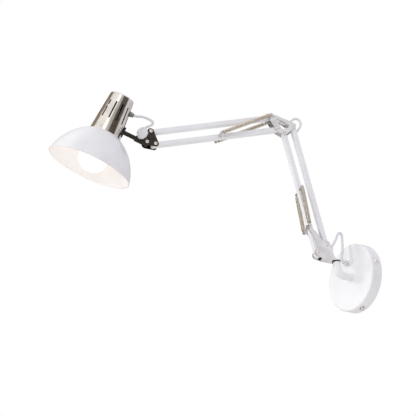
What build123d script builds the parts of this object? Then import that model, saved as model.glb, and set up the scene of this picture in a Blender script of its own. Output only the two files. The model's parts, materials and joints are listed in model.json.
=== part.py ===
from build123d import *
import os
from math import acos, atan2, cos, degrees, pi, radians, sin, sqrt, tan

# Swing arm wall sconce, in millimetres. The origin is the centre of the wall plate's back face:
# the wall is the plane Y = 0, the lamp reaches towards -Y, +Z is up and +X is to the right of
# someone facing the wall.
#
# The arm lies in an upright plane that swings about the socket post. Points of the arm are
# (u, v): u outwards from the post's axis, v up from the origin. In the arm's own frame
# X = u, Y = across the arm towards the knob, Z = v.

# ---------------------------------------------------------------- driving dimensions
COVER_R = 66.8              # round wall cover
COVER_DEPTH = 23.0
COVER_WALL = 1.5
COVER_EDGE_R = 3.0
PLATE_R = 61.3
PLATE_T = 2.0
WALL_HOLE_SPACING = 60.0    # two fixing holes in the wall plate
WALL_HOLE_R = 2.25
CABLE_ENTRY_R = 7.0
CABLE_ENTRY_Z = -22.0
SCREW_ANGLES = (0, 180, 270)
SCREW_HEAD_R = 5.5
SCREW_HEAD_H = 4.2

GLAND_UP = 32.0             # cable gland in the cover, above the socket
TERMINAL_Z = -38.0
SOCKET_THREAD_R = 5.0

POST_Y = -51.3              # axis of the socket post, in front of the wall
POST_R = 7.5
POST_TOP = 27.9
ELBOW_R = 10.0              # bend of the socket
PIN_R = 4.0

WEB_LOW = POST_TOP + 2.2    # underside of the shoulder bracket's web

SWING = -15.8               # turn of the arm plane at rest, about +Z
TUBE = 10.0                 # square arm tube
TUBE_WALL = 1.0
TUBE_EDGE_R = 1.4
BRACKET_IN = 5.3            # half gap between the plates of a bracket
PLATE = 2.0                 # thickness of bracket plates
BRACKET_OUT = BRACKET_IN + PLATE
BOLT_R = 2.0
STUD_R = 2.5                # short pivots that leave the tube's bore free for the cable
STUD_IN = 3.3
RUN_FIT = 0.06              # radial clearance of a turning fit
HEAD_R = 4.0                # bolt heads and nuts
HEAD_H = 2.6

TAIL = 5.0                  # tube beyond its pivot
PLUG_TAIL = 5.5
PLUG_CAP = 1.8

LOWER_LENGTH = 283.0
LOWER_ANGLE = 87.6
UPPER_LENGTH = 273.0
UPPER_ANGLE = -10.7
P1 = (37.2, 45.8)           # front lower pivot
P2 = (14.7, 63.9)           # rear lower pivot
H1 = (46.0, 103.7)          # lower spring studs
Q1_REACH = 147.4            # spring pin on the front lower tube, from P1
P5_OFFSET = (13.5, 8.6)     # elbow: bottom upper pivot from P3
P6_OFFSET = (5.0, 28.9)     # elbow: top upper pivot from P5
H2_OFFSET = (12.0, 26.7)    # upper spring studs from P5
Q2_REACH = 131.8            # spring pin on the bottom upper tube, from P5
# corners of the window in the elbow plates, from P3
WINDOW = ((12.4, 31.0), (-2.0, 25.5), (-12.3, 17.0), (-9.0, 9.5), (4.4, 6.6), (7.4, 14.2))
ELBOW_SPACER = (13.0, 20.6)  # from P3

SPRING_W = 15.6             # springs stand beside the arm, one each side
SPRING_R = 4.0
SPRING_GAP = 0.6
EYE_R = 4.2
EYE_T = 2.0

TILT_OFFSET = (16.8, 3.5)   # tilt bolt from P8
ROD_ANGLE = 29.0            # rod's rise at rest
KNOB_REACH = 16.0           # knob's axis along the rod from the tilt bolt
SLEEVE_R = 6.0
SLEEVE_END = 24.0
ROD_R = 4.25
ROD_INNER = 6.5             # inner end of the rod, from the tilt bolt
KNOB_R = 10.4
KNOB_IN = 17.0
KNOB_OUT = 30.0
HEAD_REACH = 80.0           # head's axis along the rod from the tilt bolt
HEAD_SWIVEL = -24.0         # turn of the head about the rod at rest
HEAD_DROP = 20.0            # the rod meets the neck this far above the shade

SHADE_R = 85.0
SHADE_H = 73.3
SHADE_WALL = 1.2
SHADE_WAIST = (71.8, -38.3)  # half-way point of the dome's outline, from the axis and its top
NECK_R = 32.0
NECK_TOP_R = 24.5
NECK_H = 83.0
NECK_WALL = 1.0
NECK_SCREW_ANGLES = (60, 210, 300)
NECK_SCREW_Z = 5.5
SLOT_COUNT = 12
SLOT_LENGTH = 38.0
SLOT_WIDTH = 3.0
SLOT_Z = 45.0
GLAND_Z = 59.0              # cable gland on the neck, above the shade
BULB_R = 29.5
BULB_Z = -SHADE_H + 22.6    # globe's centre, from the shade's top
BULB_CAP_R = 13.2
HOLDER_R = 19.0

CABLE_R = 2.5
BORE_R = 2.6
GLAND_REACH = 8.5

# ---------------------------------------------------------------- derived places


def shift(point, offset):
    """The point moved by the offset."""
    return (point[0] + offset[0], point[1] + offset[1])


def along(point, angle, reach):
    """The point reach further on in the direction of angle, in degrees."""
    return (point[0] + reach * cos(radians(angle)), point[1] + reach * sin(radians(angle)))


def bearing(start, end):
    """Direction from start to end, in degrees."""
    return degrees(atan2(end[1] - start[1], end[0] - start[0]))


def distance(start, end):
    return sqrt((end[0] - start[0]) ** 2 + (end[1] - start[1]) ** 2)


P3 = along(P1, LOWER_ANGLE, LOWER_LENGTH)
P4 = along(P2, LOWER_ANGLE, LOWER_LENGTH)
P5 = shift(P3, P5_OFFSET)
P6 = shift(P5, P6_OFFSET)
H2 = shift(P5, H2_OFFSET)
P8 = along(P5, UPPER_ANGLE, UPPER_LENGTH)
P7 = along(P6, UPPER_ANGLE, UPPER_LENGTH)
Q1 = along(P1, LOWER_ANGLE, Q1_REACH)
Q2 = along(P5, UPPER_ANGLE, Q2_REACH)
TILT = shift(P8, TILT_OFFSET)

ARM = Location((0, POST_Y, 0), (0, 0, SWING - 90))


def frame(point, angle=0.0):
    """Frame at a point of the arm plane whose X axis points along angle."""
    return ARM * Location((point[0], 0, point[1]), (0, -angle, 0))


ROD = frame(TILT, ROD_ANGLE)
HEAD = ROD * Location((0, 0, 0), (HEAD_SWIVEL, 0, 0)) * Location((HEAD_REACH, 0, -HEAD_DROP))

parts = {}


def keep(name, shape):
    """Store a sub-part under its node name."""
    parts[name] = shape


def group(solids):
    """Separate solids that share one node."""
    return Compound(children=[s for item in solids for s in item.solids()])


# ---------------------------------------------------------------- shape helpers


def bar(radius, start, end, axis="X"):
    """Round bar along an axis from start to end."""
    turn = {"X": (0, 90, 0), "Y": (-90, 0, 0), "Z": (0, 0, 0)}[axis]
    place = {"X": (start, 0, 0), "Y": (0, start, 0), "Z": (0, 0, start)}[axis]
    blank = Cylinder(radius, end - start, align=(Align.CENTER, Align.CENTER, Align.MIN))
    return Location(place, turn) * blank


def block(low, high):
    """Box between two corners."""
    size = [b - a for a, b in zip(low, high)]
    middle = [(a + b) / 2 for a, b in zip(low, high)]
    return Location(middle) * Box(*size)


def ring(outer, inner, start, end, axis="X"):
    return bar(outer, start, end, axis) - bar(inner, start - 1, end + 1, axis)


def hull_plate(discs, low, high):
    """Plate across the arm from low to high, outlined by the hull of (u, v, radius) discs."""
    outline = make_hull([e for u, v, r in discs for e in (Pos(u, v) * Circle(r)).edges()])
    upright = Plane(origin=(0, low, 0), x_dir=(1, 0, 0), z_dir=(0, -1, 0))
    return extrude(upright * outline, -(high - low))


def outline_plate(outline, low, high):
    """Plate across the arm from low to high with a drawn outline in (u, v)."""
    upright = Plane(origin=(0, low, 0), x_dir=(1, 0, 0), z_dir=(0, -1, 0))
    return extrude(upright * outline, -(high - low))


def pierce(shape, point, radius):
    """Round hole right across a bracket at a point of the arm plane."""
    return shape - Location((point[0], 0, point[1])) * bar(radius, -30, 30, "Y")


def hexagon(across, start, end, axis="Y"):
    """Hexagon prism across the arm."""
    upright = Plane(origin=(0, start, 0), x_dir=(1, 0, 0), z_dir=(0, -1, 0))
    return extrude(upright * RegularPolygon(across / sqrt(3), 6), -(end - start))


def dome(radius, height, axis, start, side=1):
    """Spherical cap on an axis, its flat face at start and its crown towards side."""
    sphere_r = (radius ** 2 + height ** 2) / (2 * height)
    half = acos((sphere_r - height) / sphere_r) / 2
    middle = (sphere_r * sin(half), height - sphere_r * (1 - cos(half)))
    crown = ThreePointArc((radius, 0), middle, (0, height))
    profile = Line((0, 0), (radius, 0)) + crown + Line((0, height), (0, 0))
    cap = revolve(Plane.XZ * make_face(profile), axis=Axis.Z)
    turn = {"X": (0, 90 * side, 0), "Y": (-90 * side, 0, 0), "Z": (0, 0, 0)}[axis]
    place = {"X": (start * side, 0, 0), "Y": (0, start * side, 0), "Z": (0, 0, start)}[axis]
    return Location(place, turn) * cap


def button(radius, height, start, side):
    """Domed head on the outer face of a bracket, at start across the arm, on one side."""
    return dome(radius, height, "Y", start, side)


def bolt_and_nut(half=BRACKET_OUT):
    """Through bolt with a domed head on the knob's side, and its nut on the other side."""
    bolt = bar(BOLT_R, -half - HEAD_H - 0.6, half, "Y") + button(HEAD_R, HEAD_H, half, 1)
    nut = hexagon(7.0, -half - HEAD_H, -half) - bar(BOLT_R, -half - HEAD_H - 1, 0, "Y")
    return bolt, nut


def stud_pair():
    """Two short pivots, one from each side, that stop short of the tube's bore."""
    return [
        button(HEAD_R, HEAD_H, BRACKET_OUT, side)
        + (bar(STUD_R, STUD_IN, BRACKET_OUT, "Y") if side > 0 else bar(STUD_R, -BRACKET_OUT, -STUD_IN, "Y"))
        for side in (1, -1)
    ]


def hook_studs():
    """Spring studs on the outer faces of a bracket, each with a small head."""
    far = SPRING_W + EYE_T / 2 + 0.5
    studs = []
    for side in (1, -1):
        low, high = sorted((side * BRACKET_OUT, side * far))
        stud = bar(BOLT_R, low, high, "Y") + button(3.0, 1.6, far, side)
        collar_low, collar_high = sorted((side * BRACKET_OUT, side * (BRACKET_OUT + 2.0)))
        studs.append(stud + bar(3.2, collar_low, collar_high, "Y"))
    return studs


def arm_tube(length, tail_start, tail_end, holes, slots=()):
    """Square tube along X with pivot holes (x, radius) and cable slots (x from, x to) in its
    rear wall."""
    section = RectangleRounded(TUBE, TUBE, TUBE_EDGE_R)
    section -= RectangleRounded(TUBE - 2 * TUBE_WALL, TUBE - 2 * TUBE_WALL, 0.6)
    face = Plane(origin=(-tail_start, 0, 0), x_dir=(0, 1, 0), z_dir=(1, 0, 0)) * section
    tube = extrude(face, length + tail_start + tail_end)
    for x, radius in holes:
        tube -= Location((x, 0, 0)) * bar(radius, -TUBE, TUBE, "Y")
    for low, high in slots:
        slot = Location(((low + high) / 2, 0, 3)) * extrude(SlotOverall(high - low, 6.0), TUBE)
        tube -= slot
    return tube


def end_plug(start, side):
    """Closed plastic plug in a tube's end: start is the tube's end, side its direction."""
    insert = RectangleRounded(TUBE - 2 * TUBE_WALL - 0.1, TUBE - 2 * TUBE_WALL - 0.1, 0.5)
    cap = RectangleRounded(TUBE, TUBE, TUBE_EDGE_R)
    inner = Plane(origin=(start - side * 1.8, 0, 0), x_dir=(0, 1, 0), z_dir=(side, 0, 0))
    outer = Plane(origin=(start, 0, 0), x_dir=(0, 1, 0), z_dir=(side, 0, 0))
    return extrude(inner * insert, 1.8) + extrude(outer * cap, PLUG_CAP)


def closed_plug(tube_end, side):
    """Closed plug whose outer end is rounded about an axis across the arm."""
    plug = end_plug(tube_end, side)
    centre = tube_end + side * PLUG_CAP - side * TUBE / 2
    limit = Location((centre, 0, 0)) * bar(TUBE / 2, -TUBE, TUBE, "Y")
    low, high = sorted((centre, tube_end - side * 4))
    return plug & (limit + block((low, -TUBE, -TUBE), (high, TUBE, TUBE)))


def cable_bush(tube_end, side):
    """Plastic bush in a tube's end with a hole for the cable."""
    return end_plug(tube_end, side) - bar(BORE_R, tube_end - 8, tube_end + 8, "X")


def cable_path(points, name, most):
    """Straight runs joined by tangent arcs as large as the runs allow, none above most.

    An end run carries one arc and an inner run two, so each arc takes 0.9 or 0.45 of its runs.
    """
    vectors = [Vector(*p) for p in points]
    runs = [b - a for a, b in zip(vectors, vectors[1:])]
    room = [run.length * (0.9 if run in (runs[0], runs[-1]) else 0.45) for run in runs]
    radii = []
    for first, second, left, right in zip(runs, runs[1:], room, room[1:]):
        turn = radians(first.get_angle(second))
        radii.append(min(most, min(left, right) / tan(turn / 2)))
    print(name, "radii", [round(r, 1) for r in radii])
    return FilletPolyline(*vectors, radius=radii)


def cable_tube(points, name, most=200.0):
    """Round cable along a path of points in the object's frame."""
    if len(points) == 2:
        path = Line(Vector(*points[0]), Vector(*points[1]))
    else:
        path = cable_path(points, name, most)
    start = Plane(origin=path @ 0, z_dir=path % 0)
    tube = sweep(start * Circle(CABLE_R), path=path)
    section = pi * CABLE_R ** 2
    ratio = tube.volume / section / path.length
    print(name, "length", round(path.length, 1), "volume ratio", round(ratio, 4))
    return tube


def arm_points(points):
    """Points (u, across, v) of the arm plane's frame in the object's frame."""
    return [tuple((ARM * Location((u, w, v))).position) for u, w, v in points]


# ---------------------------------------------------------------- wall base


def wall_plate():
    """Steel back plate with fixing holes, cable entry and three tapped lugs."""
    plate = bar(PLATE_R, -PLATE_T, 0, "Y")
    for x in (-WALL_HOLE_SPACING / 2, WALL_HOLE_SPACING / 2):
        plate -= Location((x, 0, 0)) * bar(WALL_HOLE_R, -5, 5, "Y")
    plate -= Location((0, 0, CABLE_ENTRY_Z)) * bar(CABLE_ENTRY_R, -5, 5, "Y")
    for angle in SCREW_ANGLES:
        foot = block((PLATE_R - 14, -PLATE_T - 1.5, -7), (PLATE_R + 3, -PLATE_T + 0.5, 7))
        lug = block((PLATE_R, -21, -7), (PLATE_R + 3, -PLATE_T + 0.5, 7)) + foot
        lug -= Location((0, -COVER_DEPTH / 2, 0)) * bar(2.02, PLATE_R - 2, PLATE_R + 6, "X")
        plate += Location((0, 0, 0), (0, -angle, 0)) * lug
    return plate


def base_cover():
    """Round pressed cover, open to the wall."""
    shell = bar(COVER_R, -COVER_DEPTH, 0, "Y")
    rim = shell.edges().filter_by(GeomType.CIRCLE).sort_by(Axis.Y)[0]
    shell = fillet(rim, COVER_EDGE_R)
    shell -= bar(COVER_R - COVER_WALL, -COVER_DEPTH + COVER_WALL, 1, "Y")
    shell -= bar(5.3, -COVER_DEPTH - 1, -COVER_DEPTH + 5, "Y")
    shell -= Location((0, 0, GLAND_UP)) * bar(4.1, -COVER_DEPTH - 1, -COVER_DEPTH + 5, "Y")
    for angle in SCREW_ANGLES:
        hole = Location((0, -COVER_DEPTH / 2, 0)) * bar(2.3, COVER_R - 5, COVER_R + 5, "X")
        shell -= Location((0, 0, 0), (0, -angle, 0)) * hole
    return shell


def cover_screws():
    """Slotted domed screws through the cover's rim."""
    screws = []
    for angle in SCREW_ANGLES:
        head = dome(SCREW_HEAD_R, SCREW_HEAD_H, "X", COVER_R + 0.05)
        head -= block((COVER_R + SCREW_HEAD_H - 1.6, -0.7, -8), (COVER_R + 9, 0.7, 8))
        screw = head + bar(2.0, PLATE_R - 3, COVER_R + 1.0, "X")
        screws.append(Location((0, 0, 0), (0, -angle, 0)) * Location((0, -COVER_DEPTH / 2, 0)) * screw)
    return screws


def socket():
    """Cast socket: stem through the cover, bend, and upright post with the swivel bore."""
    stem = bar(POST_R, POST_Y + ELBOW_R, -COVER_DEPTH, "Y")
    thread = bar(SOCKET_THREAD_R, -COVER_DEPTH - 1, -COVER_DEPTH + 11, "Y")
    ring_plane = Plane(origin=(0, POST_Y + ELBOW_R, 0), x_dir=(1, 0, 0), z_dir=(0, -1, 0))
    bend_axis = Axis((0, POST_Y + ELBOW_R, ELBOW_R), (1, 0, 0))
    bend = revolve(ring_plane * Circle(POST_R), axis=bend_axis, revolution_arc=-90)
    post = bar(POST_R, ELBOW_R - 0.01, POST_TOP, "Z")
    rim = post.edges().filter_by(GeomType.CIRCLE).sort_by(Axis.Z)[-1]
    post = Location((0, POST_Y, 0)) * fillet(rim, 0.8)
    bore = Location((0, POST_Y, 0)) * bar(PIN_R + RUN_FIT, 4.0, POST_TOP + 1, "Z")
    return stem + thread + bend + post - bore


def socket_nut():
    """Hexagon nut that holds the socket from inside the cover."""
    inside = Plane(origin=(0, -COVER_DEPTH + COVER_WALL, 0), x_dir=(1, 0, 0), z_dir=(0, 1, 0))
    return extrude(inside * RegularPolygon(9, 6), 6) - bar(SOCKET_THREAD_R + 0.02, -60, 0, "Y")


def wall_gland():
    """Threaded strain relief in the cover, with a nut inside."""
    body = bar(4.0, -COVER_DEPTH, -COVER_DEPTH + 7, "Y")
    nose = bar(4.6, -COVER_DEPTH - GLAND_REACH, -COVER_DEPTH, "Y")
    nose += bar(6.2, -COVER_DEPTH - 3.0, -COVER_DEPTH, "Y")
    nut = ring(6.0, 4.0, -COVER_DEPTH + COVER_WALL, -COVER_DEPTH + COVER_WALL + 3.5, "Y")
    return Location((0, 0, GLAND_UP)) * (body + nose + nut - bar(BORE_R, -60, 0, "Y"))


def terminal_block():
    """Three-way terminal block on the wall plate."""
    body = block((-13, -14, TERMINAL_Z - 8), (13, -PLATE_T, TERMINAL_Z + 8))
    for x in (-8, 0, 8):
        body -= Location((x, 0, TERMINAL_Z)) * bar(2.1, -15, -8, "Y")
    return body


def terminal_screws():
    return [Location((x, 0, TERMINAL_Z)) * bar(2.0, -13, -8.2, "Y") for x in (-8, 0, 8)]


def build_base():
    keep("wall_plate", wall_plate())
    keep("base_cover", base_cover())
    keep("cover_screws", group(cover_screws()))
    keep("socket_post", socket())
    keep("socket_nut", socket_nut())
    keep("wall_gland", wall_gland())
    keep("terminal_block", terminal_block())
    keep("terminal_screws", group(terminal_screws()))
    washer = Location((0, POST_Y, 0)) * ring(POST_R + 0.9, PIN_R + RUN_FIT, POST_TOP, POST_TOP + 2.0, "Z")
    keep("swivel_washer", washer)
    keep("cable_wall_side", cable_tube(WALL_LOOP, "cable_wall_side", 5.3))


# ---------------------------------------------------------------- shoulder


def shoulder_bracket():
    """Folded bracket: a sloping web over the post and two cheeks with spring horns."""
    rise = WEB_LOW + 4.2
    web = Polyline(
        (-8.4, WEB_LOW), (8.5, WEB_LOW), (30.0, rise), (30.0, rise + PLATE), (8.5, WEB_LOW + PLATE),
        (-8.4, WEB_LOW + PLATE), (-8.4, WEB_LOW),
    )
    bracket = outline_plate(make_face(web), -BRACKET_OUT, BRACKET_OUT)
    outline = Polyline(
        (1.0, WEB_LOW), (4.7, 40.0), (7.2, 60.0), (8.0, 70.0), (14.0, 74.5), (22.5, 73.5), (26.5, 85.0),
        (33.0, 95.5), (41.0, 105.5), (46.0, 109.0), (50.6, 106.5), (50.6, 101.5), (43.5, 94.0),
        (38.0, 84.0), (35.6, 68.0), (35.6, 57.5), (42.4, 52.5), (44.8, 46.0), (42.0, 39.5),
        (30.0, rise), (8.5, WEB_LOW), (1.0, WEB_LOW),
    )
    face = fillet(make_face(outline).vertices(), 2.0)
    for low in (-BRACKET_OUT, BRACKET_IN):
        bracket += outline_plate(face, low, low + PLATE)
    bracket = pierce(bracket, P1, BOLT_R)
    bracket = pierce(bracket, P2, STUD_R)
    bracket = pierce(bracket, H1, BOLT_R)
    bracket -= bar(PIN_R - 1.0, 0, 50, "Z")
    return ARM * bracket


def swivel_pin():
    """Pin riveted through the bracket's web, turning in the post."""
    pin = bar(PIN_R, 5.0, WEB_LOW, "Z") + bar(PIN_R - 1.0, WEB_LOW - 0.5, WEB_LOW + PLATE + 0.5, "Z")
    pin += bar(4.6, WEB_LOW + PLATE, WEB_LOW + PLATE + 1.8, "Z")
    return Location((0, POST_Y, 0)) * pin


def build_shoulder():
    keep("shoulder_bracket", shoulder_bracket())
    keep("swivel_pin", swivel_pin())
    bolt, nut = bolt_and_nut()
    keep("shoulder_bolt", frame(P1) * bolt)
    keep("shoulder_nut", frame(P1) * nut)
    keep("shoulder_studs", group([frame(P2) * s for s in stud_pair()]))
    keep("lower_spring_studs", group([frame(H1) * s for s in hook_studs()]))
    keep("cable_shoulder_side", cable_tube(SHOULDER_LOOP, "cable_shoulder_side"))


# ---------------------------------------------------------------- lower arm


def spring_pin():
    """Pin through a tube that carries the two spring eyes."""
    far = SPRING_W + EYE_T / 2 + 0.5
    pin = bar(BOLT_R, -far, far, "Y")
    for side in (1, -1):
        pin += button(3.0, 1.6, far, side)
        low, high = sorted((side * (TUBE / 2), side * (TUBE / 2 + 2.2)))
        pin += bar(3.4, low, high, "Y")
    return pin


def build_lower_arm():
    front = frame(P1, LOWER_ANGLE)
    holes = [(0, BOLT_R + RUN_FIT), (LOWER_LENGTH, BOLT_R + RUN_FIT), (Q1_REACH, BOLT_R)]
    keep("lower_front_tube", front * arm_tube(LOWER_LENGTH, PLUG_TAIL, PLUG_TAIL, holes))
    plugs = [closed_plug(-PLUG_TAIL, -1), closed_plug(LOWER_LENGTH + PLUG_TAIL, 1)]
    keep("lower_front_plugs", group([front * p for p in plugs]))
    keep("lower_spring_pin", front * Location((Q1_REACH, 0, 0)) * spring_pin())
    rear = frame(P2, LOWER_ANGLE)
    holes = [(0, STUD_R + RUN_FIT), (LOWER_LENGTH, STUD_R + RUN_FIT)]
    slots = [(LOWER_LENGTH - 26, LOWER_LENGTH - 6)]
    keep("lower_rear_tube", rear * arm_tube(LOWER_LENGTH, PLUG_TAIL, PLUG_TAIL, holes, slots))
    plugs = [cable_bush(-PLUG_TAIL, -1), closed_plug(LOWER_LENGTH + PLUG_TAIL, 1)]
    keep("lower_rear_plugs", group([rear * p for p in plugs]))
    keep("cable_lower_run", cable_tube(arm_points(LOWER_RUN), "cable_lower_run"))
    keep("cable_elbow_rear", cable_tube(arm_points(ELBOW_REAR_LOOP), "cable_elbow_rear"))


# ---------------------------------------------------------------- elbow


def elbow_plate(low):
    """Three-cornered plate with a window, holding the four arm pivots."""
    discs = [(*P4, 5.6), (*P6, 5.2), (*H2, 4.2), (*P5, 5.8), (*P3, 6.0)]
    plate = hull_plate(discs, low, low + PLATE)
    corners = [shift(P3, c) for c in WINDOW]
    window = fillet(make_face(Polyline(*corners, corners[0])).vertices(), 1.2)
    plate -= outline_plate(window, low - 1, low + PLATE + 1)
    for point, radius in ((P3, BOLT_R), (P5, BOLT_R), (P4, STUD_R), (P6, STUD_R), (H2, BOLT_R)):
        plate = pierce(plate, point, radius)
    return ARM * plate


def build_elbow():
    keep("elbow_front_plate", elbow_plate(BRACKET_IN))
    keep("elbow_rear_plate", elbow_plate(-BRACKET_OUT))
    bolts, nuts = [], []
    for point in (P3, P5):
        bolt, nut = bolt_and_nut()
        bolts.append(frame(point) * bolt)
        nuts.append(frame(point) * nut)
    bolts += [frame(p) * s for p in (P4, P6) for s in stud_pair()]
    keep("elbow_bolts", group(bolts))
    keep("elbow_nuts", group(nuts))
    keep("upper_spring_studs", group([frame(H2) * s for s in hook_studs()]))
    spacer = ring(3.2, 1.6, -BRACKET_IN, BRACKET_IN, "Y")
    keep("elbow_spacer", frame(shift(P3, ELBOW_SPACER)) * spacer)
    keep("cable_elbow_front", cable_tube(arm_points(ELBOW_FRONT_LOOP), "cable_elbow_front", 8.0))


# ---------------------------------------------------------------- upper arm


def build_upper_arm():
    bottom = frame(P5, UPPER_ANGLE)
    holes = [(0, BOLT_R + RUN_FIT), (UPPER_LENGTH, BOLT_R + RUN_FIT), (Q2_REACH, BOLT_R)]
    keep("upper_bottom_tube", bottom * arm_tube(UPPER_LENGTH, PLUG_TAIL, PLUG_TAIL, holes))
    plugs = [closed_plug(-PLUG_TAIL, -1), closed_plug(UPPER_LENGTH + PLUG_TAIL, 1)]
    keep("upper_bottom_plugs", group([bottom * p for p in plugs]))
    keep("upper_spring_pin", bottom * Location((Q2_REACH, 0, 0)) * spring_pin())
    top = frame(P6, UPPER_ANGLE)
    holes = [(0, STUD_R + RUN_FIT), (UPPER_LENGTH, STUD_R + RUN_FIT)]
    keep("upper_top_tube", top * arm_tube(UPPER_LENGTH, TAIL, TAIL, holes))
    bushes = [cable_bush(-TAIL, -1), cable_bush(UPPER_LENGTH + TAIL, 1)]
    keep("upper_top_bushes", group([top * b for b in bushes]))
    keep("cable_upper_run", cable_tube(arm_points(UPPER_RUN), "cable_upper_run"))


# ---------------------------------------------------------------- head bracket and rod clamp


def head_bracket():
    """Folded bracket at the arm's end: two cheeks joined by a narrow bridge."""
    discs = [(*P7, 6.4), (*P8, 6.6), (*TILT, 7.0)]
    bracket = hull_plate(discs, -BRACKET_OUT, -BRACKET_IN) + hull_plate(discs, BRACKET_IN, BRACKET_OUT)
    bridge_u = (P7[0] + P8[0]) / 2 + 9.0
    bridge_v = (P7[1] + TILT[1]) / 2 + 2.0
    bridge = Location((bridge_u, 0, bridge_v)) * block((-1.0, -BRACKET_OUT, -3.0), (1.0, BRACKET_OUT, 3.0))
    bracket += bridge
    bracket = pierce(bracket, P8, BOLT_R)
    bracket = pierce(bracket, P7, STUD_R)
    bracket = pierce(bracket, TILT, BOLT_R)
    return ARM * bracket


def clamp_sleeve():
    """Sleeve that tilts between the bracket's cheeks and holds the rod."""
    sleeve = bar(SLEEVE_R, 0, SLEEVE_END, "X") + bar(SLEEVE_R, -TUBE, TUBE, "Y")
    sleeve = sleeve & block((-20, -TUBE / 2, -20), (60, TUBE / 2, 20))
    boss = Location((KNOB_REACH, 0, 0)) * bar(4.6, 0, 8.0, "Y")
    sleeve = sleeve + boss
    sleeve -= bar(BOLT_R + RUN_FIT, -TUBE, TUBE, "Y")
    sleeve -= bar(ROD_R + RUN_FIT, ROD_INNER - 0.5, SLEEVE_END + 1, "X")
    sleeve -= Location((KNOB_REACH, 0, 0)) * bar(2.5 + RUN_FIT, 0, 12, "Y")
    return ROD * sleeve


def clamp_knob():
    """Six-lobed hand knob with a hub and a set screw that bears on the rod."""
    lobes = 6
    knob = bar(KNOB_R - 2.2, KNOB_IN, KNOB_OUT, "Y")
    for index in range(lobes):
        angle = 2 * pi * index / lobes
        place = Location(((KNOB_R - 2.6) * cos(angle), 0, (KNOB_R - 2.6) * sin(angle)))
        knob += place * bar(2.6, KNOB_IN, KNOB_OUT, "Y")
    knob += bar(5.0, 9.5, KNOB_IN + 0.5, "Y")
    return knob + bar(2.5, ROD_R + 0.15, KNOB_IN, "Y")


def build_clamp():
    keep("head_bracket", head_bracket())
    bolt, nut = bolt_and_nut()
    studs = [frame(P7) * s for s in stud_pair()]
    keep("head_bolts", group([frame(P8) * bolt, frame(TILT) * bolt] + studs))
    keep("head_nuts", group([frame(P8) * nut, frame(TILT) * nut]))
    keep("cable_bracket_side", cable_tube(arm_points(BRACKET_LOOP), "cable_bracket_side"))
    keep("clamp_sleeve", clamp_sleeve())
    at_knob = ROD * Location((KNOB_REACH, 0, 0))
    keep("clamp_knob", at_knob * clamp_knob())
    keep("cable_clamp_side", cable_tube(arm_points(CLAMP_LOOP), "cable_clamp_side"))


# ---------------------------------------------------------------- head


def neck_radius(height):
    """Outside radius of the neck at a height above the shade."""
    return NECK_R + (NECK_TOP_R - NECK_R) * height / NECK_H


def standing_cone(low_r, high_r, height):
    """Cone that stands on the origin."""
    return Cone(low_r, high_r, height, align=(Align.CENTER, Align.CENTER, Align.MIN))


def neck_cone(inset=0.0):
    """Solid cone of the neck's outside, its radii smaller by the inset."""
    return standing_cone(NECK_R - inset, NECK_TOP_R - inset, NECK_H)


def neck():
    """Tapered neck with a closed rounded top, cooling slots, and holes for rod and gland."""
    solid = neck_cone()
    solid = fillet(solid.edges().filter_by(GeomType.CIRCLE).sort_by(Axis.Z)[-1], 3.0)
    shell = solid - Location((0, 0, -NECK_WALL)) * neck_cone(NECK_WALL)
    for index in range(SLOT_COUNT):
        angle = 360 / SLOT_COUNT * (index + 0.5)
        slot = Location((20, 0, SLOT_Z), (0, 90, 0)) * extrude(SlotOverall(SLOT_LENGTH, SLOT_WIDTH), 20)
        shell -= Location((0, 0, 0), (0, 0, angle)) * slot
    shell -= Location((0, 0, HEAD_DROP)) * bar(ROD_R - 0.75, -NECK_R - 5, -15, "X")
    shell -= Location((0, 0, GLAND_Z)) * bar(4.0, -NECK_R - 5, -15, "X")
    for angle in NECK_SCREW_ANGLES:
        hole = Location((0, 0, NECK_SCREW_Z)) * bar(1.5, 20, 40, "X")
        shell -= Location((0, 0, 0), (0, 0, angle)) * hole
    return shell


def shade():
    """Spun dome, flatter than a hemisphere, with a flat top that the neck stands on."""
    floor, top = -SHADE_H, -0.05
    rim, waist, crown = Vector(SHADE_R, floor), Vector(*SHADE_WAIST), Vector(NECK_R, top)
    outer = ThreePointArc(rim, waist, crown)
    centre, arc_r = outer.arc_center, outer.radius
    inner_r = arc_r - SHADE_WALL
    inner_rim = centre.X + sqrt(inner_r ** 2 - (floor - centre.Y) ** 2)
    inner_top = centre.X + sqrt(inner_r ** 2 - (top - SHADE_WALL - centre.Y) ** 2)
    middle = centre + (waist - centre) * (inner_r / arc_r)
    opening, under = HOLDER_R + 6.0, top - SHADE_WALL
    flat = Line(crown, (opening, top)) + Line((opening, top), (opening, under))
    flat += Line((opening, under), (inner_top, under))
    inner = ThreePointArc((inner_top, under), middle, (inner_rim, floor))
    section = outer + flat + inner + Line((inner_rim, floor), rim)
    return revolve(Plane.XZ * make_face(section), axis=Axis.Z)


def bulb_globe():
    """Glass envelope: globe and a tapering neck down to the cap."""
    globe = Location((0, 0, BULB_Z)) * Sphere(BULB_R)
    taper_low = BULB_Z + BULB_R * sin(radians(42))
    taper_r = BULB_R * cos(radians(42))
    cap_z = BULB_Z + 47.0
    taper = standing_cone(taper_r, BULB_CAP_R - 0.6, cap_z - taper_low)
    glass = globe + Location((0, 0, taper_low)) * taper
    hollow = Location((0, 0, BULB_Z)) * Sphere(BULB_R - 1.0)
    hollow += Location((0, 0, taper_low)) * standing_cone(taper_r - 1.0, BULB_CAP_R - 1.6, cap_z - taper_low - 1.0)
    return glass - hollow


def bulb_cap():
    """Screw cap with a contact at its end."""
    low = BULB_Z + 47.0
    cap = bar(BULB_CAP_R, low, low + 22.0, "Z") + bar(4.5, low + 22.0, low + 25.5, "Z")
    return cap


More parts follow.
